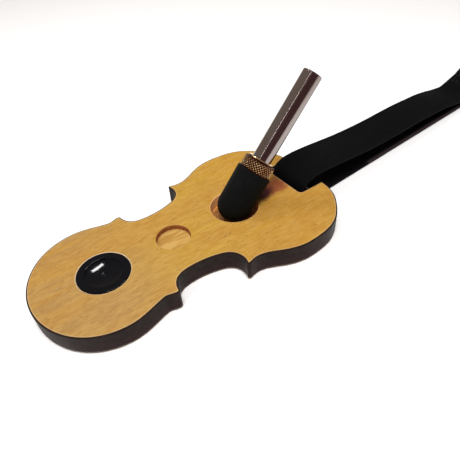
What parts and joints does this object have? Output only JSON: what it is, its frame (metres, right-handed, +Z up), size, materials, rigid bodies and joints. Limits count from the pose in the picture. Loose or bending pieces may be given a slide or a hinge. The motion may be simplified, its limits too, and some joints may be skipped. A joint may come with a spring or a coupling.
{
  "type": "cello endpin rest",
  "caption": "Cello-outline beech floor block with endpin seats, a rubber sole, a webbing chair strap with slider and eye, and a booted endpin standing in one seat",
  "frame": {"origin": "underside of the rubber sole at the middle of the board's length and width", "axes": "+X along the board towards its notch and out along the strap, +Y across the board, +Z up out of the seats"},
  "size_m": [0.4638, 0.0882, 0.0708],
  "materials": {
    "beech": "satin lacquered beech, edges stained dark brown",
    "sole_rubber": "matte",
    "cup_black": "gloss",
    "pin_steel": "black oxide",
    "webbing": "woven polyester",
    "slider_nylon": "semi-matte",
    "rod_steel": "polished",
    "spike_steel": "satin",
    "collar_brass": "diamond knurled, bright lip",
    "boot_rubber": "matte"
  },
  "bodies": {
    "board": {"board": "beech", "rubber_sole": "sole_rubber", "cup_insert": "cup_black", "strap_pin": "pin_steel"},
    "strap": {"strap_pin_loop": "webbing", "strap_upper_ply": "webbing", "strap_lower_ply": "webbing"},
    "slider": {"strap_slider": "slider_nylon", "strap_running_ply": "webbing"},
    "eye": {"strap_tail": "webbing", "chair_eye": "webbing"},
    "endpin": {"endpin_rod": "rod_steel", "endpin_spike": "spike_steel", "rubber_boot": "boot_rubber"},
    "collar": {"knurled_collar": "collar_brass"}
  },
  "joints": [
    {"name": "strap_swing", "type": "hinge", "parent": "board", "child": "strap", "pos_m": [0.07, 0, 0.0048], "axis": [0, -1, 0], "range_deg": [0, 80], "deforming": ["strap_pin_loop"]},
    {"name": "slider_adjust", "type": "slide", "parent": "strap", "child": "slider", "axis": [0.9984, 0.0558, 0], "range_m": [-0.06, 0.01], "deforming": ["strap_upper_ply", "strap_lower_ply"]},
    {"name": "eye_reach", "type": "slide", "parent": "slider", "child": "eye", "axis": [0.9984, 0.0558, 0], "range_m": [-0.02, 0.12], "deforming": ["strap_tail"]},
    {"name": "endpin_tilt", "type": "hinge", "parent": "board", "child": "endpin", "pos_m": [0.0276, -0.0016, 0.0133], "axis": [0, -1, 0], "range_deg": [-8, 41]},
    {"name": "collar_turn", "type": "hinge", "parent": "endpin", "child": "collar", "pos_m": [0.04101, -0.0016, 0.02814], "axis": [0.6704, 0, 0.742], "continuous": true}
  ],
  "couplings": [
    {"joint": "eye_reach", "follows": "slider_adjust", "ratio": -2}
  ]
}
